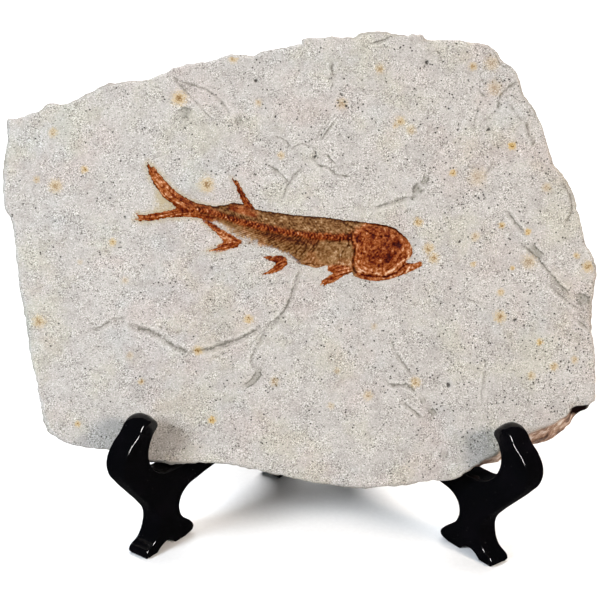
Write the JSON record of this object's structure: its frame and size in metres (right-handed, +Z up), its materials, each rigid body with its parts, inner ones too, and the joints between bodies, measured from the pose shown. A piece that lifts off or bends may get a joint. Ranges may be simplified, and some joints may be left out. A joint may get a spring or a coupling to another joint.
{
  "type": "fossil fish slab on folding display stand",
  "caption": "Broken limestone slab with a fossil fish in its face, leaning on a black plate stand whose two halves turn on an upright hinge pin.",
  "frame": {"origin": "on the ground, under the middle of the whole object's box", "axes": "+X to the viewer's right along the slab's width, +Y away from the viewer towards the hinge, +Z up"},
  "size_m": [0.1592, 0.0744, 0.1328],
  "materials": {
    "limestone": "matte, fine-grained, broken edges",
    "fossil_bone": "satin mineralised bone",
    "stand_plastic": "gloss black, moulded",
    "pin_plastic": "gloss black"
  },
  "bodies": {
    "slab_and_left_half": {"slab": "limestone", "fossil_fish": "fossil_bone", "stand_left": "stand_plastic", "hinge_pin": "pin_plastic"},
    "right_half": {"stand_right": "stand_plastic"}
  },
  "joints": [
    {"name": "stand_hinge", "type": "hinge", "parent": "slab_and_left_half", "child": "right_half", "pos_m": [0.0072, 0.033, 0.043], "axis": [0, 0, 1], "range_deg": [0, 4]}
  ]
}
